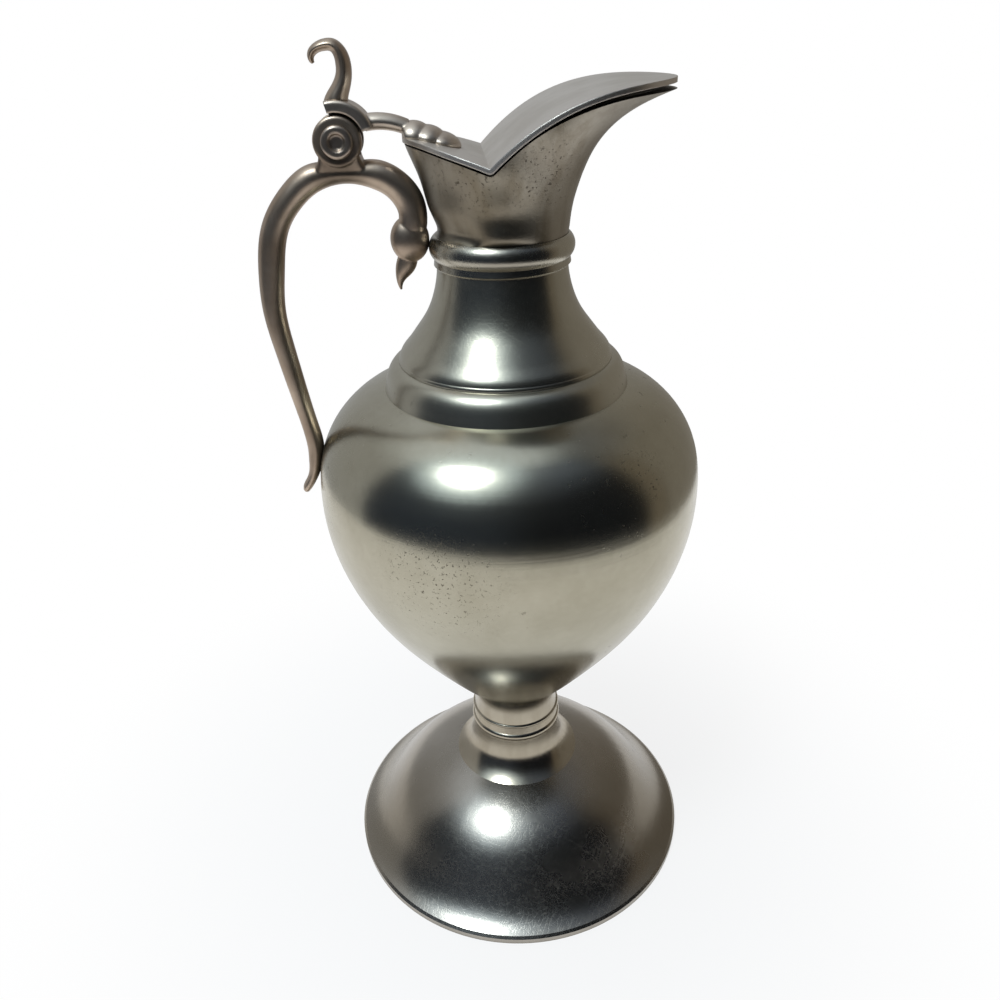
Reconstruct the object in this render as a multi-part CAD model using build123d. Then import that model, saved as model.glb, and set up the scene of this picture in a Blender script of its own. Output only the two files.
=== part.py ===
"""Lidded creamer in pewter: a ewer-shaped jug on a bell foot, with a hinged lid.

Millimetres, +Z up. The origin is in the plane that the foot stands on, under
the middle of the outline between the back of the handle and the front edge of
the foot. +X points to the spout and -X to the handle, so the hinge pin lies
along Y. The lid is shown shut. The pieces are drawn round the axis of the
turned body, which stands axis_forward in front of the origin, and each is
moved there when it is written.
"""
from build123d import *
import math
import os

# Sheet thicknesses
foot_wall = 1.2
body_wall = 1.3
spout_wall = 1.1
lid_thickness = 0.8

# Foot: a spun bell, open below, with a plain upright edge
foot_radius = 38.0
foot_edge_height = 1.7
foot_height = 20.7
foot_top_radius = 13.8
foot_edge_round = 0.5

# Stem base: a hollow trumpet that flares down into the foot, with a bead on top
stem_base_height = 10.9
stem_top_radius = 9.5
stem_bead_radius = 9.95
stem_bead_height = 1.7
stem_bore_radius = 6.4

# Stem ring: a hollow spool with a lip over its groove, between the trumpet and the bowl
stem_ring_height = 8.6
stem_groove_radius = 8.9
stem_groove_height = 1.9
stem_lip_radius = 9.7
stem_lip_height = 0.8
stem_waist_radius = 9.1

# Bowl: two spun cups soldered together at the girth, the lower one seated on the spool
bowl_seat_radius = 9.6
bowl_lower_height = 51.0
bowl_radius = 36.6
bowl_upper_height = 20.7
bowl_shoulder_radius = 22.2
bowl_crown_height = 2.2
bowl_mouth_radius = 14.0

# Shoulder ring: a cast half-round that hides the joint of bowl and neck
shoulder_ring_radius = 22.6
shoulder_ring_height = 5.0
shoulder_lap = 0.5

# Neck: a spun concave cone
neck_foot_radius = 19.55
neck_edge_height = 0.3
neck_edge_round = 0.45
neck_height = 19.4

# Throat: where neck and spout butt together inside the collar
throat_radius = 11.5
collar_drop = 2.7
collar_lip_radius = 12.0
collar_lip_height = 1.4
collar_lip_edge = 0.35
collar_groove = 0.15
collar_bead_radius = 12.7
collar_bead_height = 3.9
collar_top_land = 0.1

# Spout mouth, seen from above: a pear with its broad end forward
mouth_back = 15.5
mouth_half_width = 17.0
mouth_widest_x = 9.0
mouth_valley_half_width = 15.0
mouth_front = 28.4
front_lag = 0.54
side_flare_power = 1.5
lip_flare_power = 6

# Lid line, seen from the side: a V with its valley just behind the axis
lid_valley_x = -2.4
lid_valley_height = 15.15
lid_back_rise = 3.45
lid_tip_rise = 10.95
lid_back_power = 1.45
lid_tip_power = 2.8
lid_overhang = 0.3
lid_gap = 0.35
lid_tip_gap = 0.7

# Hinge on top of the handle
hinge_reach = 26.1
hinge_height = 18.4
ear_radius = 3.95
ear_thickness = 1.6
ear_edge_round = 0.6
tongue_thickness = 2.2
tongue_radius = 3.65
hinge_side_gap = 0.3
hinge_round_gap = 0.4
pin_radius = 1.5
pin_running_gap = 0.05
pin_head_radius = 2.6
pin_head_height = 0.9
pin_dish_radius = 1.45
pin_dish_depth = 0.6

# Saddle over the hinge ears, and the strap from it to the lid
saddle_thickness = 1.8
saddle_edge_round = 0.6
saddle_heel_angle = 104.0
saddle_toe_angle = 18.0
strap_height = 2.7
strap_width = 3.8

# Leaf: the three-lobed end of the strap, soldered on the lid
leaf_length = 9.4
leaf_root_height = 2.9
leaf_half_width = 4.1

# Thumbpiece, rising from the saddle
thumb_height = 14.5
thumb_width = 4.4

# Handle, cast in one piece with the ears and the bird head
handle_reach = 40.6
handle_thickness = 4.5
handle_width = 4.6
handle_seat = 0.25
handle_seat_height = 8.6
tail_reach = 3.3
tail_drop = 8.6
bird_neck_thickness = 5.0
bird_head_depth = 6.7
bird_head_height = 7.9
bird_head_width = 5.0
beak_thickness = 3.5
beak_width = 2.7
beak_reach = 2.2
beak_drop = 8.6

# Heights of the turned pieces, from the floor up
stem_ring_z = foot_height + stem_base_height
cup_z = stem_ring_z + stem_ring_height
girth_z = cup_z + bowl_lower_height
shoulder_z = girth_z + bowl_upper_height
neck_z = shoulder_z + shoulder_ring_height
throat_z = neck_z + neck_height
collar_z = throat_z - collar_drop
bead_z = collar_z + collar_lip_height
flare_z = bead_z + collar_bead_height

# Places that follow from the sizes above
valley_z = throat_z + lid_valley_height
hinge_x = -hinge_reach
hinge_z = throat_z + hinge_height
knuckle_width = tongue_thickness + 2 * hinge_side_gap + 2 * ear_thickness
saddle_inner_radius = ear_radius + hinge_round_gap
saddle_radius = saddle_inner_radius + saddle_thickness
hinge_line = Plane(origin=(hinge_x, 0, hinge_z), x_dir=(1, 0, 0), z_dir=(0, -1, 0))
back_of_handle = handle_reach + 0.44 * handle_thickness
axis_forward = (back_of_handle - foot_radius) / 2
nodes = {}


def turned(edges):
    """Solid of revolution about Z from a closed outline drawn as (radius, height)."""
    return revolve(Plane.XZ * make_face(edges), Axis.Z)


def curve_between(start, end, shares):
    """Smooth curve of radius and height; each share is (height share, radius share)."""
    across = end[0] - start[0]
    up = end[1] - start[1]
    points = [start]
    for height_share, radius_share in shares:
        points.append((start[0] + radius_share * across, start[1] + height_share * up))
    points.append(end)
    return Spline(points)


def sheet_inside(outer, wall, count):
    """Inner face of a spun sheet: the outer curve moved to its left by the wall."""
    points = []
    for index in range(count + 1):
        share = index / count
        way = outer % share
        points.append(outer @ share + Vector(-way.Y, way.X, 0) * wall)
    return Spline(points)


def end_lines(outer, inner):
    """The two short lines that close a spun sheet at its ends."""
    return [Line(outer @ 0, inner @ 0), Line(outer @ 1, inner @ 1)]


def along_y(face, width):
    """Extrude a face drawn as (x, z) by a width centred on the plane of the handle."""
    return extrude(Plane.XZ * face, width / 2, both=True)


def hinge_disc(radius, width):
    """Round disc on the hinge line, centred across the handle."""
    return hinge_line * Cylinder(radius, width)


def hinge_sector(inner_radius, outer_radius, start_angle, end_angle, width):
    """Part of a ring round the hinge line, centred across the handle."""
    sweep = end_angle - start_angle
    outer = CenterArc((0, 0), outer_radius, start_angle, sweep)
    inner = CenterArc((0, 0), inner_radius, start_angle, sweep)
    face = make_face([outer, inner, Line(outer @ 0, inner @ 0), Line(outer @ 1, inner @ 1)])
    return extrude(hinge_line * face, width / 2, both=True)


def oval(thickness, width):
    """Elliptical face whose outline always starts on the same side."""
    points = []
    for index in range(8):
        angle = math.pi * index / 4
        points.append((thickness / 2 * math.cos(angle), width / 2 * math.sin(angle)))
    return make_face(Spline(points, periodic=True))


def limb(stations):
    """Cast limb through (x, z, thickness, width) stations in the plane of the handle."""
    sections = []
    last = len(stations) - 1
    for index, (x, z, thickness, width) in enumerate(stations):
        before = stations[max(index - 1, 0)]
        after = stations[min(index + 1, last)]
        way = Vector(after[0] - before[0], 0, after[1] - before[1]).normalized()
        across = Vector(-way.Z, 0, way.X)
        plane = Plane(origin=(x, 0, z), x_dir=across, z_dir=way)
        sections.append(plane * oval(thickness, width))
    return loft(sections)


def between(start, end, shares):
    """Stations placed by (x share, z share) from one point to another."""
    stations = []
    for x_share, z_share, thickness, width in shares:
        x = start[0] + x_share * (end[0] - start[0])
        z = start[1] + z_share * (end[1] - start[1])
        stations.append((x, z, thickness, width))
    return stations


def lid_height(x):
    """Height of the lid's top face at x: two power curves that meet in the valley."""
    if x < lid_valley_x:
        share = (lid_valley_x - x) / (lid_valley_x + mouth_back + lid_overhang)
        return valley_z + lid_back_rise * (1 - (1 - min(share, 1)) ** lid_back_power)
    share = (x - lid_valley_x) / (mouth_front + lid_overhang - lid_valley_x)
    return valley_z + lid_tip_rise * (1 - (1 - min(share, 1)) ** lid_tip_power)


def lid_branch(end_x, depth, end_depth, count):
    """The lid line from the valley to one end, moved square to the lid by a depth."""
    points = []
    step = math.copysign(0.01, end_x)
    for index in range(count + 1):
        share = (index / count) ** 1.3
        x = lid_valley_x + share * (end_x - lid_valley_x)
        slope = (lid_height(x + step) - lid_height(x)) / step
        drop = (depth + share * (end_depth - depth)) / math.hypot(1, slope)
        points.append((x + drop * slope, lid_height(x) - drop))
    return Spline(points)


def lid_line(depth, back_depth, tip_depth):
    """The whole lid line from back to tip at a depth below the lid's top face."""
    back = lid_branch(-mouth_back - 6, depth, back_depth, 6)
    front = lid_branch(mouth_front + 6, depth, tip_depth, 8)
    edges = [back, front]
    if depth > 0:
        edges.append(ThreePointArc(back @ 0, (lid_valley_x, valley_z - depth), front @ 0))
    return edges


def mouth_points(extra):
    """Half of the mouth's plan from tip to back, grown outwards by an extra width."""
    half = [
        (mouth_front, 0),
        (0.91 * mouth_front, 0.50 * mouth_half_width),
        (0.72 * mouth_front, 0.835 * mouth_half_width),
        (mouth_widest_x, mouth_half_width),
        (lid_valley_x, mouth_valley_half_width),
        (-0.52 * mouth_back, 0.815 * mouth_valley_half_width),
        (-0.81 * mouth_back, 0.48 * mouth_valley_half_width),
        (-mouth_back, 0),
    ]
    grown = []
    for x, y in half:
        out = Vector(x, y, 0).normalized() * extra
        grown.append((x + out.X, y + out.Y))
    return grown


def mirrored_loop(half):
    """Closed smooth loop through half a plan and its mirror image across X."""
    other = [(x, -y) for x, y in reversed(half[1:-1])]
    return Spline(half + other, periodic=True)


def spout_section(z, inset, lag):
    """Level section of the flaring spout, a little smaller for its inner face."""
    level = z - lag
    half = []
    for x, y in mouth_points(0):
        bearing = math.atan2(y, x)
        tip_share = max(0, (x - lid_valley_x) / (mouth_front - lid_valley_x))
        rim_z = lid_height(x) - lid_thickness - lid_gap - tip_share * lid_tip_gap
        share = max(0, (level - flare_z) / (rim_z - flare_z))
        gentle = 1 - front_lag * max(0, math.cos(bearing))
        if share < 1:
            flare = gentle * share ** side_flare_power + (1 - gentle) * share ** lip_flare_power
        else:
            over = share - 1
            side_growth = side_flare_power / 10 * (1 - math.exp(-10 * over))
            flare = 1 + gentle * side_growth + (1 - gentle) * lip_flare_power * over
        base_x = throat_radius * math.cos(bearing)
        base_y = throat_radius * math.sin(bearing)
        px = base_x + flare * (x - base_x)
        py = base_y + flare * (y - base_y)
        shrink = 1 - inset / math.hypot(px, py)
        half.append((px * shrink, py * shrink))
    return Pos(0, 0, z) * make_face(mirrored_loop(half))


# Foot bell
foot_shoulder = (foot_radius - foot_edge_round, foot_edge_height)
foot_outer = curve_between(
    foot_shoulder,
    (foot_top_radius, foot_height),
    [(0.113, 0.141), (0.318, 0.282), (0.656, 0.508), (0.842, 0.713), (0.925, 0.846)],
)
foot_inner = sheet_inside(foot_outer, foot_wall, 8)
foot_lip = foot_inner @ 0
foot_crown = foot_inner @ 1
nodes["foot_bell"] = turned([
    foot_outer,
    foot_inner,
    Polyline((foot_lip.X, foot_lip.Y), (foot_lip.X, 0), (foot_radius, 0),
             (foot_radius, foot_edge_height - foot_edge_round), foot_shoulder),
    Polyline((foot_top_radius, foot_height), (stem_bore_radius, foot_height),
             (stem_bore_radius, foot_height - foot_wall), (foot_crown.X, foot_height - foot_wall),
             (foot_crown.X, foot_crown.Y)),
])

# Stem base
bead_low_z = stem_ring_z - stem_bead_height
nodes["stem_base"] = turned([
    curve_between((foot_top_radius, foot_height), (stem_top_radius, bead_low_z),
                  [(0.10, 0.30), (0.20, 0.53), (0.40, 0.824), (0.65, 0.972)]),
    ThreePointArc((stem_top_radius, bead_low_z),
                  (stem_bead_radius, bead_low_z + 0.5 * stem_bead_height),
                  (stem_top_radius, stem_ring_z)),
    Polyline((stem_top_radius, stem_ring_z), (stem_bore_radius, stem_ring_z),
             (stem_bore_radius, foot_height), (foot_top_radius, foot_height)),
])

# Stem ring
lip_z = stem_ring_z + stem_groove_height
waist_low_z = lip_z + stem_lip_height
nodes["stem_ring"] = turned([
    Spline([(stem_top_radius, stem_ring_z),
            (0.6 * stem_groove_radius + 0.4 * stem_top_radius, stem_ring_z + 0.6 * stem_groove_height),
            (stem_groove_radius, lip_z)]),
    ThreePointArc((stem_groove_radius, lip_z),
                  (stem_lip_radius, lip_z + 0.55 * stem_lip_height),
                  (0.4 * stem_lip_radius + 0.6 * stem_waist_radius, waist_low_z)),
    Spline([(0.4 * stem_lip_radius + 0.6 * stem_waist_radius, waist_low_z),
            (stem_waist_radius, 0.6 * waist_low_z + 0.4 * cup_z),
            (bowl_seat_radius, cup_z)]),
    Polyline((bowl_seat_radius, cup_z), (stem_bore_radius, cup_z),
             (stem_bore_radius, stem_ring_z), (stem_top_radius, stem_ring_z)),
])

# Bowl, lower cup
cup_outer = curve_between(
    (bowl_seat_radius, cup_z),
    (bowl_radius, girth_z),
    [(0.106, 0.177), (0.255, 0.400), (0.553, 0.778), (0.859, 0.978)],
)
cup_inner = sheet_inside(cup_outer, body_wall, 10)
cup_floor = cup_inner @ 0
nodes["bowl_lower"] = turned([
    cup_outer,
    cup_inner,
    Line(cup_outer @ 1, cup_inner @ 1),
    Polyline((cup_floor.X, cup_floor.Y), (0, cup_floor.Y), (0, cup_z), (bowl_seat_radius, cup_z)),
])

# Bowl, upper cup with the crown that the neck stands on
crown_outer = Spline(
    [(bowl_radius, girth_z),
     (bowl_radius - 0.16 * (bowl_radius - bowl_shoulder_radius), girth_z + 0.55 * bowl_upper_height),
     (bowl_radius - 0.58 * (bowl_radius - bowl_shoulder_radius), girth_z + 0.87 * bowl_upper_height),
     (bowl_shoulder_radius, shoulder_z),
     (bowl_mouth_radius, shoulder_z + bowl_crown_height)],
    tangents=[(0, 1), (-1, 0.25)],
)
crown_inner = sheet_inside(crown_outer, body_wall, 12)
nodes["bowl_upper"] = turned([crown_outer, crown_inner] + end_lines(crown_outer, crown_inner))
bowl_space = turned([
    crown_outer,
    Polyline((bowl_radius, girth_z), (0, girth_z), (0, shoulder_z + bowl_crown_height),
             (bowl_mouth_radius, shoulder_z + bowl_crown_height)),
])

# Shoulder ring
ring_bulge = Spline(
    [(neck_foot_radius, neck_z),
     (0.41 * neck_foot_radius + 0.59 * shoulder_ring_radius, shoulder_z + 0.72 * shoulder_ring_height),
     (0.17 * neck_foot_radius + 0.83 * shoulder_ring_radius, shoulder_z + 0.36 * shoulder_ring_height),
     (shoulder_ring_radius, shoulder_z - shoulder_lap)],
)
nodes["shoulder_ring"] = turned([
    ring_bulge,
    Polyline((shoulder_ring_radius, shoulder_z - shoulder_lap),
             (neck_foot_radius, shoulder_z - shoulder_lap), (neck_foot_radius, neck_z)),
]) - bowl_space

# Neck
neck_edge = (neck_foot_radius, neck_z + neck_edge_height)
neck_low = (neck_foot_radius - 0.45 * neck_edge_round, neck_edge[1] + neck_edge_round)
neck_outer = curve_between(
    neck_low,
    (throat_radius, collar_z),
    [(0.065, 0.062), (0.133, 0.18), (0.266, 0.391), (0.4545, 0.665), (0.714, 0.894)],
)
neck_inner = sheet_inside(neck_outer, body_wall, 8)
neck_low_inner = neck_inner @ 0
neck_top_inner = neck_inner @ 1
nodes["neck"] = turned([
    neck_outer,
    neck_inner,
    Polyline((throat_radius, collar_z), (throat_radius, throat_z),
             (neck_top_inner.X, throat_z), (neck_top_inner.X, neck_top_inner.Y)),
    ThreePointArc(neck_low, (neck_foot_radius - 0.12 * neck_edge_round, neck_edge[1] + 0.5 * neck_edge_round),
                  neck_edge),
    Polyline(neck_edge, (neck_foot_radius, shoulder_z - shoulder_lap),
             (neck_low_inner.X, shoulder_z - shoulder_lap), (neck_low_inner.X, neck_low_inner.Y)),
]) - bowl_space

# Collar
nodes["collar"] = turned([
    Polyline((throat_radius, flare_z), (throat_radius, collar_z),
             (collar_lip_radius - collar_lip_edge, collar_z),
             (collar_lip_radius, collar_z + collar_lip_edge),
             (collar_lip_radius - collar_groove, bead_z)),
    ThreePointArc((collar_lip_radius - collar_groove, bead_z),
                  (collar_bead_radius, bead_z + 0.5 * collar_bead_height),
                  (throat_radius + collar_top_land, flare_z)),
    Line((throat_radius + collar_top_land, flare_z), (throat_radius, flare_z)),
])

# Spout
flare_top_z = valley_z + lid_tip_rise - 0.5
spout_levels = [0.18, 0.35, 0.50, 0.64, 0.76, 0.86, 0.94, 1.0]
outer_sections = [Pos(0, 0, flare_z) * Circle(throat_radius)]
inner_sections = [Pos(0, 0, flare_z) * Circle(throat_radius - spout_wall)]
for level in spout_levels:
    section_z = flare_z + level * (flare_top_z - flare_z)
    outer_sections.append(spout_section(section_z, 0, 0))
    inner_sections.append(spout_section(section_z, spout_wall, 0.6 * spout_wall))
spout_space = loft(outer_sections)
spout_hollow = loft(inner_sections)
spout_tube = Pos(0, 0, throat_z) * Cylinder(
    throat_radius, flare_z - throat_z, align=(Align.CENTER, Align.CENTER, Align.MIN))
spout_bore = Pos(0, 0, throat_z) * Cylinder(
    throat_radius - spout_wall, flare_z - throat_z, align=(Align.CENTER, Align.CENTER, Align.MIN))
rim_edges = lid_line(lid_thickness + lid_gap, lid_thickness + lid_gap,
                     lid_thickness + lid_gap + lid_tip_gap)
rim_back = rim_edges[0] @ 1
rim_tip = rim_edges[1] @ 1
above_rim = along_y(make_face(rim_edges + [
    Polyline((rim_back.X, rim_back.Y), (rim_back.X, flare_top_z + 20), (rim_tip.X, flare_top_z + 20),
             (rim_tip.X, rim_tip.Y)),
]), 4 * mouth_half_width)
nodes["spout"] = spout_tube + spout_space - spout_hollow - spout_bore - above_rim

# Lid plate
top_edges = lid_line(0, 0, 0)
under_edges = lid_line(lid_thickness, lid_thickness, lid_thickness)
plate_profile = make_face(top_edges + under_edges + [
    Line(top_edges[0] @ 1, under_edges[0] @ 1),
    Line(top_edges[1] @ 1, under_edges[1] @ 1),
])
lid_plan = extrude(Pos(0, 0, valley_z - 10) * make_face(mirrored_loop(mouth_points(lid_overhang))),
                   lid_tip_rise + 20)
nodes["lid_plate"] = along_y(plate_profile, 4 * mouth_half_width) & lid_plan

# Handle
knuckle = (hinge_x, hinge_z)
seat_z = girth_z + handle_seat_height
arch = between(knuckle, (-throat_radius - 0.8, flare_z), [
    (0.775, 0.99, 0.80 * bird_neck_thickness, 0.84 * handle_width),
    (0.798, 0.86, 0.98 * bird_neck_thickness, handle_width),
    (0.797, 0.70, handle_thickness + 0.4, handle_width),
    (0.652, 0.48, handle_thickness + 0.4, handle_width),
    (0.40, 0.35, handle_thickness + 0.2, handle_width),
    (0.08, 0.32, 0.75 * handle_thickness, handle_width),
])
back = between(knuckle, (-handle_reach, seat_z), [
    (0.328, 0.103, handle_thickness, handle_width),
    (0.614, 0.158, handle_thickness, handle_width),
    (0.831, 0.237, handle_thickness, handle_width),
    (0.959, 0.370, handle_thickness, handle_width),
    (1.000, 0.502, 0.88 * handle_thickness, handle_width),
    (0.945, 0.634, 0.80 * handle_thickness, 0.96 * handle_width),
    (0.859, 0.777, 0.73 * handle_thickness, 0.92 * handle_width),
    (0.772, 0.912, 0.69 * handle_thickness, 0.88 * handle_width),
])
tail_end = (-bowl_radius - tail_reach, seat_z - tail_drop)
tail = between((-bowl_radius - handle_seat, seat_z), tail_end, [
    (0.00, 0.00, 0.69 * handle_thickness, 0.87 * handle_width),
    (0.115, 0.279, 0.60 * handle_thickness, 0.84 * handle_width),
    (0.328, 0.558, 0.45 * handle_thickness, 0.76 * handle_width),
    (0.639, 0.783, 0.39 * handle_thickness, 0.66 * handle_width),
    (1.00, 1.00, 0.27 * handle_thickness, 0.50 * handle_width),
])
head_place = (-collar_bead_radius - 0.465 * bird_head_depth, flare_z - 0.5)
head = Pos(head_place[0], 0, head_place[1]) * scale(
    Sphere(1), by=(bird_head_depth / 2, bird_head_width / 2, bird_head_height / 2))
beak = between(head_place, (head_place[0] - beak_reach, head_place[1] - beak_drop), [
    (0.25, 0.256, 0.94 * beak_thickness, 1.04 * beak_width),
    (0.41, 0.477, beak_thickness, beak_width),
    (0.73, 0.640, 0.80 * beak_thickness, 0.82 * beak_width),
    (0.98, 0.790, 0.45 * beak_thickness, 0.54 * beak_width),
    (1.04, 0.919, 0.22 * beak_thickness, 0.30 * beak_width),
    (0.99, 1.000, 0.10 * beak_thickness, 0.14 * beak_width),
])
pedestal = loft([
    Pos(hinge_x, 0, hinge_z - 1.45 * ear_radius) * RectangleRounded(
        2.70 * ear_radius, 0.60 * knuckle_width, 1.7),
    Pos(hinge_x, 0, hinge_z - 1.20 * ear_radius) * RectangleRounded(
        2.38 * ear_radius, 0.73 * knuckle_width, 1.5),
    Pos(hinge_x, 0, hinge_z - 0.95 * ear_radius) * RectangleRounded(
        2.00 * ear_radius, 0.84 * knuckle_width, 1.1),
    Pos(hinge_x, 0, hinge_z - 0.65 * ear_radius) * RectangleRounded(
        1.72 * ear_radius, 0.92 * knuckle_width, 0.7),
    Pos(hinge_x, 0, hinge_z - 0.30 * ear_radius) * RectangleRounded(
        1.66 * ear_radius, 0.94 * knuckle_width, 0.5),
])
collar_space = turned([
    Polyline((0, flare_z), (0, collar_z), (collar_lip_radius, collar_z), (collar_lip_radius, bead_z)),
    ThreePointArc((collar_lip_radius, bead_z),
                  (collar_bead_radius, bead_z + 0.5 * collar_bead_height),
                  (throat_radius + collar_top_land, flare_z)),
    Line((throat_radius + collar_top_land, flare_z), (0, flare_z)),
])
knuckle_disc = hinge_disc(ear_radius, knuckle_width)
knuckle_disc = fillet(knuckle_disc.edges().filter_by(GeomType.CIRCLE), ear_edge_round)
handle = limb(arch + back + tail) + head + limb(beak) + pedestal + knuckle_disc
slot = hinge_disc(saddle_inner_radius - 0.3, tongue_thickness + 2 * hinge_side_gap)
pin_hole = hinge_disc(pin_radius, 2 * knuckle_width)
nodes["handle"] = handle - slot - pin_hole - spout_space - spout_tube - collar_space - bowl_space

# Hinge pin
head_disc = hinge_line * Pos(0, 0, knuckle_width / 2) * Cylinder(
    pin_head_radius, pin_head_height, align=(Align.CENTER, Align.CENTER, Align.MIN))
head_disc = fillet(head_disc.edges().sort_by(Axis.Y)[0], 0.6 * pin_head_height)
dish = hinge_line * Pos(0, 0, knuckle_width / 2 + pin_head_height - pin_dish_depth) * Cone(
    0.75 * pin_dish_radius, pin_dish_radius, pin_dish_depth, align=(Align.CENTER, Align.CENTER, Align.MIN))
nodes["hinge_pin"] = hinge_disc(pin_radius, knuckle_width) + (head_disc - dish) + mirror(head_disc, Plane.XZ)

# Lid strap
tongue = hinge_disc(tongue_radius, tongue_thickness) + hinge_sector(
    0.5 * tongue_radius, saddle_inner_radius + 0.5 * saddle_thickness,
    saddle_toe_angle, saddle_heel_angle, tongue_thickness)
saddle = hinge_sector(saddle_inner_radius, saddle_radius, saddle_toe_angle, saddle_heel_angle,
                      knuckle_width)
saddle_rims = saddle.edges().filter_by(GeomType.CIRCLE).sort_by(SortBy.RADIUS)[-2:]
saddle = fillet(saddle_rims, saddle_edge_round)
lid_edge = (-mouth_back - lid_overhang, lid_height(-mouth_back))
strap_start = (hinge_x + 0.75 * saddle_radius, hinge_z + 0.40 * saddle_radius)
strap = limb([
    (strap_start[0], strap_start[1], strap_height, strap_width),
    (0.4 * strap_start[0] + 0.6 * lid_edge[0], strap_start[1], 0.96 * strap_height, 0.95 * strap_width),
    (lid_edge[0] + 1, lid_edge[1] + 0.45 * leaf_root_height, 0.9 * strap_height, strap_width),
])
leaf = []
for share, half_share, rise_share in [(0.22, 0.85, 0.88), (0.46, 0.98, 0.78), (0.70, 1.00, 0.60)]:
    leaf_x = lid_edge[0] + share * leaf_length
    fall = math.degrees(math.atan2(lid_height(leaf_x - 0.5) - lid_height(leaf_x + 0.5), 1))
    lobe = scale(Sphere(1), by=(0.33 * leaf_length, half_share * leaf_half_width,
                                rise_share * leaf_root_height))
    leaf.append(Pos(leaf_x, 0, lid_height(leaf_x)) * Rot(0, fall, 0) * lobe)
leaf_body = (leaf[0] + leaf[1] + leaf[2]) & lid_plan
top_back = top_edges[0] @ 1
top_front = top_edges[1] @ 1
below_lid = along_y(make_face(top_edges + [
    Polyline((top_back.X, top_back.Y), (top_back.X, valley_z - 20), (top_front.X, valley_z - 20),
             (top_front.X, top_front.Y)),
]), 4 * leaf_half_width)
nodes["lid_strap"] = (strap + leaf_body - below_lid) + tongue + saddle - hinge_disc(
    pin_radius + pin_running_gap, 2 * knuckle_width)

# Thumbpiece
thumb_base = (hinge_x, hinge_z + 0.7 * saddle_radius)
thumb = between(thumb_base, (hinge_x - 3, thumb_base[1] + thumb_height * 0.7), [
    (-0.02, -0.05, 1.25 * thumb_width, 1.00 * thumb_width),
    (-0.13, 0.08, 0.95 * thumb_width, 1.05 * thumb_width),
    (-0.43, 0.33, 0.65 * thumb_width, 1.02 * thumb_width),
    (-0.68, 0.52, 0.55 * thumb_width, 1.00 * thumb_width),
    (-0.70, 0.68, 0.52 * thumb_width, 0.98 * thumb_width),
    (-0.58, 0.82, 0.47 * thumb_width, 0.94 * thumb_width),
    (-0.23, 0.93, 0.41 * thumb_width, 0.88 * thumb_width),
    (0.25, 0.935, 0.37 * thumb_width, 0.82 * thumb_width),
    (0.64, 0.895, 0.32 * thumb_width, 0.74 * thumb_width),
    (0.92, 0.812, 0.26 * thumb_width, 0.62 * thumb_width),
    (0.94, 0.735, 0.18 * thumb_width, 0.48 * thumb_width),
    (0.85, 0.690, 0.09 * thumb_width, 0.32 * thumb_width),
])
nodes["thumbpiece"] = limb(thumb) - hinge_disc(saddle_radius, 2 * knuckle_width)

os.makedirs("parts", exist_ok=True)
for name, solid in nodes.items():
    export_step(Pos(axis_forward, 0, 0) * solid, "parts/" + name + ".step")
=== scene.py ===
"""Lidded creamer in old pewter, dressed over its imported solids.

All places are in metres, +Z up, with the spout towards +X and the handle
towards -X. The photograph looks along +Y from above.
"""
import math

import bmesh
import bpy
from mathutils import Matrix, Vector


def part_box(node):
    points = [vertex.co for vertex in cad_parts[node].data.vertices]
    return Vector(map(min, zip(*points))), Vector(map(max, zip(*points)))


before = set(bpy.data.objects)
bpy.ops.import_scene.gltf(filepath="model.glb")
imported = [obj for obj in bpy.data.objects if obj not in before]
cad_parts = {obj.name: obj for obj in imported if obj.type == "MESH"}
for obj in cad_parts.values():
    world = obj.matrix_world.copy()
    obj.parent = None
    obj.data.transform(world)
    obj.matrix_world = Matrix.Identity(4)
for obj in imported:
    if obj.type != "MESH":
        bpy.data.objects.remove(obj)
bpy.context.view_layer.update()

# Foot: a bell spun from pewter sheet, hollow below, burnished on the lathe.
# Its left and right sides are a little browner than the rest, as painted shade,
# and the crease under the stem is darkened with painted shade.


class Wave:
    """A shader value; sums and products of waves add their own Math nodes."""

    def __init__(self, finish, socket):
        self.finish = finish
        self.socket = socket

    def maths(self, operation, *terms):
        """A Math node on waves and numbers."""
        return self.finish.node("ShaderNodeMath", {"operation": operation}, dict(enumerate(terms)))

    def __add__(self, other):
        return self.maths("ADD", self, other)

    __radd__ = __add__

    def __sub__(self, other):
        return self.maths("SUBTRACT", self, other)

    def __rsub__(self, other):
        return self.maths("SUBTRACT", other, self)

    def __mul__(self, other):
        return self.maths("MULTIPLY", self, other)

    __rmul__ = __mul__

    def __truediv__(self, other):
        return self.maths("DIVIDE", self, other)

    def __pow__(self, other):
        return self.maths("POWER", self, other)

    def __abs__(self):
        return self.maths("ABSOLUTE", self)

    def between(self, low, high):
        """0 at low, 1 at high, eased at both ends; the other way round where low is the larger."""
        ends = {"Value": self, "From Min": low, "From Max": high}
        return self.finish.node("ShaderNodeMapRange", {"interpolation_type": "SMOOTHSTEP"}, ends)


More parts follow.
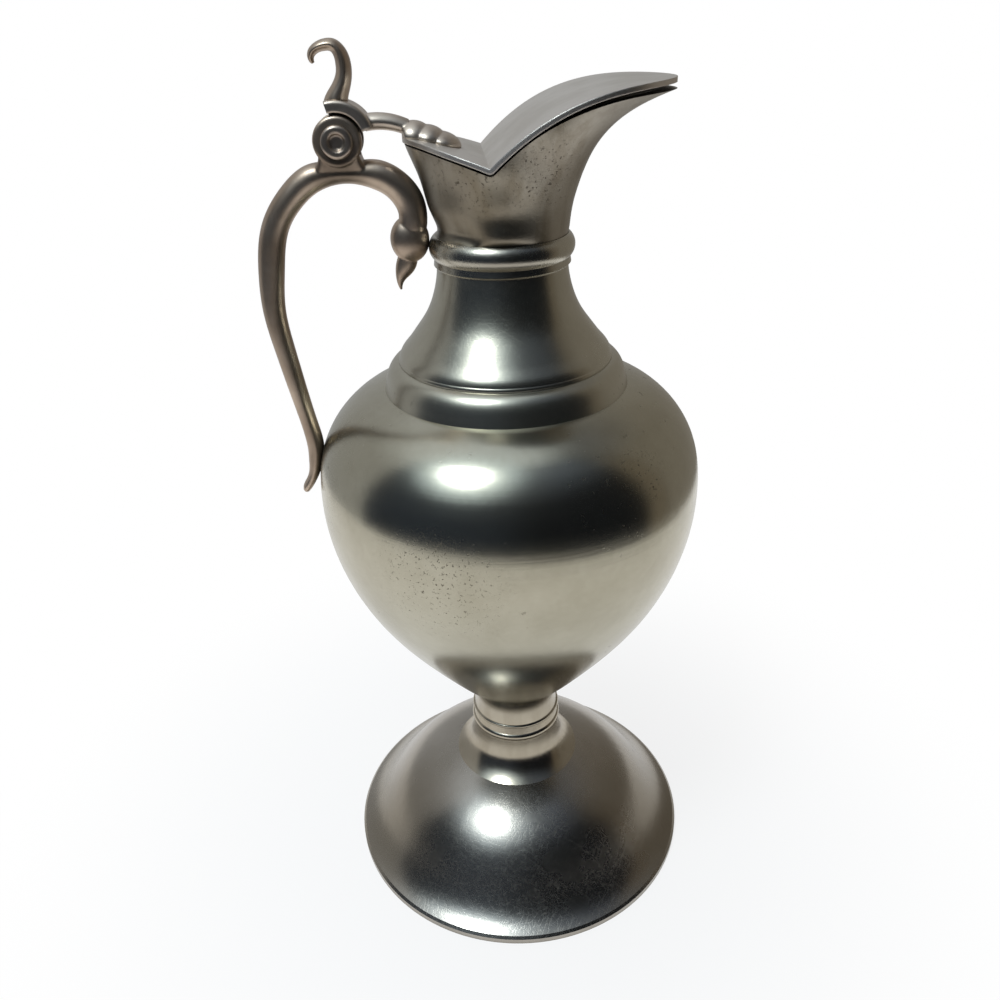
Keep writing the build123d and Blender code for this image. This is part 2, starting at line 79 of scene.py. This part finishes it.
class Finish:
    """A material under construction on one Principled shader."""

    def __init__(self, name):
        self.material = bpy.data.materials.new(name)
        self.material.use_nodes = True
        self.tree = self.material.node_tree
        self.shader = self.tree.nodes["Principled BSDF"]
        self.place = self.node("ShaderNodeTexCoord", {}, {}, "Object")

    def node(self, kind, settings, sockets, result=0):
        """A node of a kind, its settings first, then the values or links of its sockets."""
        node = self.tree.nodes.new(kind)
        for key, value in settings.items():
            setattr(node, key, value)
        self.fill(node, sockets)
        outputs = [socket for socket in node.outputs if socket.enabled]
        if isinstance(result, str):
            outputs = [socket for socket in outputs if socket.name == result]
            result = 0
        return Wave(self, outputs[result])

    def fill(self, node, sockets):
        """Set or link sockets by name, or else by number among those that are open."""
        open_sockets = [socket for socket in node.inputs if socket.enabled]
        for key, value in sockets.items():
            found = [socket for socket in open_sockets if socket.name == key]
            socket = found[0] if found else open_sockets[key]
            if isinstance(value, Wave):
                self.tree.links.new(value.socket, socket)
            else:
                socket.default_value = value

    def vector(self, operation, *terms, result=0):
        """Vector Math of places or directions."""
        return self.node("ShaderNodeVectorMath", {"operation": operation}, dict(enumerate(terms)), result)

    def axes(self):
        """The three coordinates of a place on the piece."""
        return [self.node("ShaderNodeSeparateXYZ", {}, {"Vector": self.place}, axis) for axis in "XYZ"]

    def finish_with(self, shader):
        """Show this shader on the material."""
        self.tree.links.new(shader.socket, self.tree.nodes["Material Output"].inputs["Surface"])

    def blend(self, share, first, second):
        """Colour that goes from the first to the second as the share goes from 0 to 1."""
        return self.node("ShaderNodeMix", {"data_type": "RGBA"}, {"Factor": share, "A": first, "B": second})

    def noise(self, scale, detail=3.0, roughness=0.55, stretch=None):
        """Soft noise from 0 to 1 in the piece's own place, with its grains drawn out where asked."""
        place = self.vector("MULTIPLY", self.place, stretch) if stretch else self.place
        return self.node("ShaderNodeTexNoise", {}, {
            "Vector": place, "Scale": scale, "Detail": detail, "Roughness": roughness})

    def scratches(self, direction, count, spread):
        """Hairline scratches along one direction: the level lines of a drawn-out noise."""
        hairline = 0.022
        turned = self.node("ShaderNodeMapping", {}, {"Vector": self.place, "Rotation": direction})
        drawn = self.vector("MULTIPLY", turned, (count, count, spread))
        level = self.node("ShaderNodeTexNoise", {}, {"Vector": drawn, "Scale": 1.0, "Detail": 1.0})
        return abs(level - 0.5).between(hairline, 0.0)

    def shade_in_creases(self, reach):
        """1 in the angle between two pieces, 0 on open metal: the mask of painted shade in creases."""
        shut = self.node("ShaderNodeAmbientOcclusion", {"samples": 6}, {"Distance": reach}, "AO")
        return shut.between(0.75, 0.25)

    def patch(self, centre, reach):
        """1 at a place on the piece, easing to 0 at the reach."""
        apart = self.vector("DISTANCE", self.place, centre, result="Value")
        return apart.between(reach, 0.2 * reach)

    def set(self, **inputs):
        """Values or links for the Principled shader, with _ for a space in a socket's name."""
        self.fill(self.shader, {key.replace("_", " "): value for key, value in inputs.items()})


def from_axis(x, y):
    """Distance from an upright axis, kept just above 0 so that it can be divided by."""
    return (x * x + y * y + 1e-8) ** 0.5


foot_low, foot_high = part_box("foot_bell")
axis_x = 0.5 * (foot_low[0] + foot_high[0])


def spun_pewter(name, bright=(0.51, 0.485, 0.40, 1), dull=(0.37, 0.345, 0.275, 1), polish=0.2, specks=0.5,
                streaks=0.0, crease_shade_reach=0.0016, freckled=(), browned=()):
    """Turned and burnished pewter: turning lines round the axis, haze, hairlines, tarnish and brown painted
    shade in the creases.

    Freckled and browned are lists of a centre and a reach: patches of dark
    specks, and patches of smooth brown, which on the foot are painted shade.
    """
    tool_marks = 3200.0
    change_round = 1.2
    streak_brown = (0.17, 0.135, 0.085, 1)
    patch_brown = (0.16, 0.13, 0.085, 1)
    speck_brown = (0.12, 0.10, 0.075, 1)
    crease_shade_brown = (0.10, 0.085, 0.065, 1)
    metal = Finish(name)
    x, y, z = metal.axes()
    x = x - axis_x
    radius = from_axis(x, y)
    rings = metal.node("ShaderNodeCombineXYZ", {}, {
        "X": radius * tool_marks, "Y": z * tool_marks, "Z": x / radius * change_round})
    turning = metal.node("ShaderNodeTexNoise", {"noise_dimensions": "4D"}, {
        "Vector": rings, "W": y / radius * change_round, "Scale": 1.0, "Detail": 3.0, "Roughness": 0.6})
    haze = metal.noise(38.0, 5.0, 0.62)
    grain = metal.noise(900.0, 3.0, 0.6)
    hairlines = (
        metal.scratches((0.5, 0.9, 0.2), 800.0, 70.0)
        + metal.scratches((-0.8, 0.3, 0.6), 700.0, 60.0)
        + metal.scratches((1.4, -0.4, 1.1), 750.0, 60.0)
    )
    worn = metal.noise(15.0, 2.0).between(0.40, 0.66)
    pits = metal.noise(620.0, 4.0, 0.7).between(0.63, 0.70) * metal.noise(52.0, 3.0).between(0.50, 0.66)
    for centre, reach in freckled:
        pits = pits + metal.noise(1600.0, 3.0, 0.7).between(0.585, 0.67) * metal.patch(centre, reach)
    streak = metal.noise(1.0, 3.0, 0.6, (260.0, 260.0, 32.0)).between(0.40, 0.70)
    # Brown painted shade in the creases, where ambient occlusion finds the metal shut in.
    crease_shade = metal.shade_in_creases(crease_shade_reach)
    shade = haze.between(0.30, 0.72) * 0.75 + grain * 0.25
    colour = metal.blend(shade, bright, dull)
    colour = metal.blend(streak * streaks, colour, streak_brown)
    for centre, reach in browned:
        colour = metal.blend(metal.patch(centre, reach) * 0.6, colour, patch_brown)
    colour = metal.blend(pits * specks, colour, speck_brown)
    colour = metal.blend(crease_shade * 0.75, colour, crease_shade_brown)
    relief = turning * 0.5 + grain * 0.2 - hairlines * worn * 0.4 - pits * specks
    metal.set(
        Metallic=1.0,
        Base_Color=colour,
        Roughness=polish + haze * 0.06 + pits * 0.2 + crease_shade * 0.2 + hairlines * worn * 0.06,
        Normal=metal.node("ShaderNodeBump", {}, {"Height": relief, "Strength": 0.11, "Distance": 0.00012}),
    )
    return metal.material


def dress(node_name, material):
    """Give a node of the frame its material."""
    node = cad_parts[node_name]
    node.data.materials.clear()
    node.data.materials.append(material)


# Brown painted shade on the foot's left and right sides.
foot_left_shade = (-0.031, -0.012, 0.012)
foot_right_shade = (0.036, -0.012, 0.012)
foot_pewter = spun_pewter(
    "foot_pewter", bright=(0.42, 0.39, 0.345, 1), dull=(0.31, 0.285, 0.245, 1), polish=0.24, specks=0.35,
    browned=[(foot_left_shade, 0.026), (foot_right_shade, 0.026)])
dress("foot_bell", foot_pewter)

# Stem: a spun pewter trumpet with a bead, and a spool with a lip, soldered
# between foot and bowl. Its grooves are darkened with painted shade.
stem_pewter = spun_pewter(
    "stem_pewter", bright=(0.46, 0.415, 0.33, 1), dull=(0.32, 0.28, 0.215, 1), streaks=0.2, crease_shade_reach=0.004)
dress("stem_base", stem_pewter)
dress("stem_ring", stem_pewter)

# Bowl: two spun pewter cups, soldered at the girth and burnished over the
# joint, so that it can't be seen. Old tarnish is left as specks, most of them
# in two patches.
specks_left = (-0.0125, -0.0335, 0.0885)
specks_right = (0.0234, -0.0261, 0.1038)
bowl_pewter = spun_pewter(
    "bowl_pewter", bright=(0.49, 0.465, 0.375, 1), dull=(0.36, 0.335, 0.255, 1), specks=0.8,
    freckled=[(specks_left, 0.0155), (specks_right, 0.007)])
dress("bowl_lower", bowl_pewter)
dress("bowl_upper", bowl_pewter)

# Shoulder: a cast pewter ring, half round, over the joint of bowl and neck,
# turned smooth after soldering.
dress("shoulder_ring", spun_pewter("shoulder_pewter", polish=0.28, specks=0.4))

# Neck: a concave cone spun from pewter sheet, and the collar, a turned lip
# and bead soldered over its joint with the spout.
dress("neck", spun_pewter("neck_pewter", polish=0.25, specks=0.3))
collar_pewter = spun_pewter("collar_pewter", dull=(0.34, 0.31, 0.26, 1), polish=0.24, specks=0.6)
dress("collar", collar_pewter)

# Spout: raised over a stake from one pewter sheet and soldered into the
# collar. It is less polished than the turned pieces, streaked with brown, and
# browned most low down beside the handle.
spout_root = (-0.003, -0.012, 0.143)
under_valley = (-0.003, -0.012, 0.152)
beside_valley = (0.009, -0.012, 0.150)
spout_pewter = spun_pewter(
    "spout_pewter", bright=(0.44, 0.41, 0.345, 1), dull=(0.30, 0.265, 0.215, 1), polish=0.34, specks=0.8,
    streaks=0.5, browned=[(spout_root, 0.015)],
    freckled=[(under_valley, 0.012), (beside_valley, 0.009)])
dress("spout", spout_pewter)

# Handle: one pewter casting with the hinge ears and the bird head, filed and
# rubbed. Its corners carry brown painted shade, and a brown patch lies on the block under the ears.


def cast_pewter(name, bright=(0.54, 0.435, 0.34, 1), dull=(0.36, 0.27, 0.20, 1), polish=0.32, edge=0.0006,
                browned=()):
    """Cast and filed pewter: soft edges, a fine skin, and brown painted shade in the corners."""
    corner_shade_brown = (0.07, 0.055, 0.042, 1)
    patch_brown = (0.12, 0.09, 0.065, 1)
    metal = Finish(name)
    skin = metal.noise(420.0, 5.0, 0.65)
    stain = metal.noise(70.0, 4.0, 0.6)
    file_marks = metal.noise(1.0, 2.0, 0.6, (600.0, 2200.0, 300.0))
    corner_shade = metal.shade_in_creases(0.0026)
    colour = metal.blend(stain.between(0.32, 0.68), bright, dull)
    # Brown painted shade in the corners, where ambient occlusion finds the metal shut in.
    colour = metal.blend(corner_shade * 0.8, colour, corner_shade_brown)
    for centre, reach in browned:
        colour = metal.blend(metal.patch(centre, reach) * 0.75, colour, patch_brown)
    relief = skin * 0.6 + file_marks * 0.3 + stain * 0.4
    soft_edge = metal.node("ShaderNodeBevel", {"samples": 8}, {"Radius": edge})
    metal.set(
        Metallic=1.0 - stain.between(0.3, 0.7) * 0.16,
        Base_Color=colour,
        Roughness=polish + skin * 0.1 + corner_shade * 0.2,
        Normal=metal.node("ShaderNodeBump", {}, {
            "Height": relief, "Strength": 0.14, "Distance": 0.0002, "Normal": soft_edge}),
    )
    return metal.material


ear_block = (-0.0241, -0.003, 0.1500)
dress("handle", cast_pewter("handle_pewter", browned=[(ear_block, 0.0065)]))

# Hinge pin: a pewter rivet through both ears and the lid's tongue, headed at
# both ends. Its near head is dished, turned and rubbed.
pin_pewter = cast_pewter(
    "pin_pewter", bright=(0.58, 0.485, 0.40, 1), dull=(0.39, 0.31, 0.245, 1), polish=0.25)
dress("hinge_pin", pin_pewter)

# Lid: a V-shaped plate cut from rolled pewter sheet and bent along one line.
# It is nearly matt, with a filed edge.


def sheet_pewter(name):
    """Rolled pewter sheet: a dull, faintly lined face with filed edges and brown painted shade in its
    corners.
    """
    rubbed = (0.68, 0.63, 0.575, 1)
    dulled = (0.54, 0.49, 0.43, 1)
    corner_shade_brown = (0.12, 0.10, 0.08, 1)
    filed_edge = 0.00035
    metal = Finish(name)
    haze = metal.noise(110.0, 5.0, 0.6)
    cloud = metal.noise(28.0, 3.0)
    rolling = metal.noise(1.0, 2.0, 0.6, (250.0, 1800.0, 250.0))
    corner_shade = metal.shade_in_creases(0.0018)
    shade = haze.between(0.35, 0.68) * 0.6 + cloud * 0.4
    colour = metal.blend(shade, rubbed, dulled)
    # Brown painted shade in the corners, where ambient occlusion finds the sheet shut in.
    colour = metal.blend(corner_shade * 0.7, colour, corner_shade_brown)
    soft_edge = metal.node("ShaderNodeBevel", {"samples": 6}, {"Radius": filed_edge})
    metal.set(
        Metallic=1.0,
        Base_Color=colour,
        Roughness=0.42 + haze * 0.08,
        Normal=metal.node("ShaderNodeBump", {}, {
            "Height": haze * 0.5 + rolling * 0.3, "Strength": 0.10, "Distance": 0.0002, "Normal": soft_edge}),
    )
    return metal.material


dress("lid_plate", sheet_pewter("lid_pewter"))

# Lid strap: hinge tongue, saddle, strap and three-lobed leaf in one pewter
# casting, soldered on the lid.
strap_pewter = cast_pewter(
    "strap_pewter", bright=(0.58, 0.495, 0.41, 1), dull=(0.43, 0.35, 0.28, 1), polish=0.31)
dress("lid_strap", strap_pewter)

# Thumbpiece: a cast pewter lever soldered on the saddle. It thins towards its
# curled tip, so its edges are hardly rounded.
thumb_pewter = cast_pewter("thumb_pewter", bright=(0.56, 0.46, 0.36, 1), polish=0.30, edge=0.0002)
dress("thumbpiece", thumb_pewter)

# Floor: a large pale sheet. It is plain white to the eye and in the metal,
# and keeps the jug's own shadow close round the foot.
floor_size = 6.0
near_white = 0.82
mesh = bpy.data.meshes.new("floor")
shape = bmesh.new()
bmesh.ops.create_grid(shape, x_segments=1, y_segments=1, size=floor_size / 2)
shape.to_mesh(mesh)
shape.free()
floor = bpy.data.objects.new("floor", mesh)
bpy.context.collection.objects.link(floor)
ground = Finish("pale_floor")
ground.set(Base_Color=(0.9, 0.9, 0.9, 1), Roughness=0.9)
seen = (
    ground.node("ShaderNodeLightPath", {}, {}, "Is Camera Ray")
    + ground.node("ShaderNodeLightPath", {}, {}, "Is Glossy Ray")
    + ground.node("ShaderNodeLightPath", {}, {}, "Is Transmission Ray")
)
far = ground.vector("LENGTH", ground.place, result="Value").between(0.03, 0.13)
white = ground.node("ShaderNodeEmission", {}, {"Color": (1, 1, 1, 1), "Strength": 1.0})
plain = Wave(ground, ground.shader.outputs[0])
share = seen * (near_white + far * (1 - near_white))
mixed = ground.node("ShaderNodeMixShader", {}, {0: share, 1: plain, 2: white})
ground.finish_with(mixed)
mesh.materials.append(ground.material)

# Backdrop: the world is the same white to the eye. The tent keeps it off the
# jug, and it lights the floor outside the tent.
world = bpy.data.worlds.new("studio")
bpy.context.scene.world = world
world.use_nodes = True
sky = world.node_tree
sky.nodes["Background"].inputs["Color"].default_value = (1, 1, 1, 1)
sky.nodes["Background"].inputs["Strength"].default_value = 1.0

# Lamp: a soft round lamp, up on the left and in front, in a cool daylight
# colour. It makes the white highlights.
lamp_azimuth = math.radians(-134)
lamp_elevation = math.radians(59)
lamp_distance = 0.72
jug_middle = Vector((axis_x, 0, 0.09))
lamp_data = bpy.data.lights.new("window", "AREA")
lamp_data.shape = "DISK"
lamp_data.energy = 2.4
lamp_data.size = 0.22
lamp_data.color = (0.86, 0.95, 1.0)
lamp = bpy.data.objects.new("window", lamp_data)
bpy.context.collection.objects.link(lamp)
lamp_way = Vector((
    math.cos(lamp_elevation) * math.cos(lamp_azimuth),
    math.cos(lamp_elevation) * math.sin(lamp_azimuth),
    math.sin(lamp_elevation),
))
lamp.matrix_world = (
    Matrix.Translation(jug_middle + lamp_distance * lamp_way)
    @ (-lamp_way).to_track_quat("-Z", "Y").to_matrix().to_4x4()
)
lamp.visible_camera = False

# Tent: a glowing shell all round and over the jug, hidden from the camera.
# Its painted glow is black in front, grey beside, pale behind and overhead,
# with a painted halo of light round the lamp, which gives its highlights a
# soft halo. Its outline is radius and height, from the table to the top.
tent_outline = [
    (0.26, 0.001), (0.36, 0.09), (0.55, 0.25), (0.80, 0.50), (0.90, 0.80), (0.80, 1.10), (0.50, 1.35),
    (0.0, 1.45)]
tent_sides = 64
tent_left = 0.05
tent_middle = 0.1
halo_edge = math.radians(31)
halo_heart = math.radians(5)
halo_glow = (1.05, 1.32, 1.55, 1)
front_left_glow = (0.035, 0.045, 0.065, 1)
front_right_glow = (0.012, 0.014, 0.018, 1)
front_high_glow = (0.13, 0.16, 0.22, 1)
side_low_glow = (0.22, 0.19, 0.15, 1)
side_high_glow = (0.11, 0.125, 0.14, 1)
back_left_glow = (0.46, 0.47, 0.48, 1)
back_right_glow = (0.27, 0.25, 0.22, 1)
back_left_high_glow = (0.85, 0.92, 1.0, 1)
back_right_high_glow = (0.16, 0.17, 0.19, 1)
overhead_glow = (0.80, 0.90, 1.0, 1)
shape = bmesh.new()
rings = []
for radius, height in tent_outline[:-1]:
    ring = []
    for side in range(tent_sides):
        angle = 2 * math.pi * side / tent_sides
        point = (radius * math.cos(angle) - tent_left, radius * math.sin(angle), height)
        ring.append(shape.verts.new(point))
    rings.append(ring)
top = shape.verts.new((-tent_left, 0, tent_outline[-1][1]))
for low_ring, high_ring in zip(rings, rings[1:]):
    for side in range(tent_sides):
        after = (side + 1) % tent_sides
        shape.faces.new((low_ring[side], low_ring[after], high_ring[after], high_ring[side]))
for side in range(tent_sides):
    shape.faces.new((rings[-1][side], rings[-1][(side + 1) % tent_sides], top))
mesh = bpy.data.meshes.new("tent")
shape.to_mesh(mesh)
shape.free()
tent = bpy.data.objects.new("tent", mesh)
bpy.context.collection.objects.link(tent)
tent.visible_camera = False
tent_glow_paint = Finish("tent_glow")
x, y, z = tent_glow_paint.axes()
z = z - tent_middle
across = from_axis(x, y)
behind = (y / across).between(-0.05, 0.05)
right = (x / across).between(0.955, 0.985) * (1 - behind)
back_right = (x / across).between(-0.1, 0.7)
up = z.maths("ARCTAN2", z, across)
high = up.between(math.radians(30), math.radians(68))
overhead = up.between(math.radians(64), math.radians(84))
front_right = (x / across).between(-0.5, 0.3)
front = tent_glow_paint.blend(front_right, front_left_glow, front_right_glow)
front = tent_glow_paint.blend(high, front, front_high_glow)
beside = tent_glow_paint.blend(high, side_low_glow, side_high_glow)
back = tent_glow_paint.blend(back_right, back_left_glow, back_right_glow)
back = tent_glow_paint.blend(high, back, tent_glow_paint.blend(back_right, back_left_high_glow, back_right_high_glow))
colour = tent_glow_paint.blend(behind, tent_glow_paint.blend(right, front, beside), back)
colour = tent_glow_paint.blend(overhead, colour, overhead_glow)
# A painted halo of light on the shell round the lamp's direction.
way = tent_glow_paint.vector("NORMALIZE", tent_glow_paint.vector("SUBTRACT", tent_glow_paint.place, jug_middle))
toward_lamp = tent_glow_paint.vector("DOT_PRODUCT", way, lamp_way, result="Value")
halo = toward_lamp.between(math.cos(halo_edge), math.cos(halo_heart))
colour = tent_glow_paint.blend(halo, colour, halo_glow)
glow = tent_glow_paint.node("ShaderNodeEmission", {}, {"Color": colour, "Strength": 1.0})
tent_glow_paint.finish_with(glow)
tent_glow_paint.material.cycles.emission_sampling = "NONE"
mesh.materials.append(tent_glow_paint.material)

# Camera: where the photographer stood, close and high, looking down at the
# jug with a slight turn.
camera_place = (-0.0072, -0.15519, 0.17231)
camera_turn = math.radians(-2.786)
camera_tilt = math.radians(60.985)
camera_roll = math.radians(-2.055)
camera_data = bpy.data.cameras.new("camera")
camera_data.lens = 31.78
camera_data.sensor_width = 36.0
camera = bpy.data.objects.new("camera", camera_data)
bpy.context.collection.objects.link(camera)
camera.matrix_world = (
    Matrix.Translation(camera_place)
    @ Matrix.Rotation(camera_turn, 4, "Z")
    @ Matrix.Rotation(camera_tilt, 4, "X")
    @ Matrix.Rotation(camera_roll, 4, "Z")
)
bpy.context.scene.camera = camera
bpy.context.scene.view_settings.view_transform = "Standard"
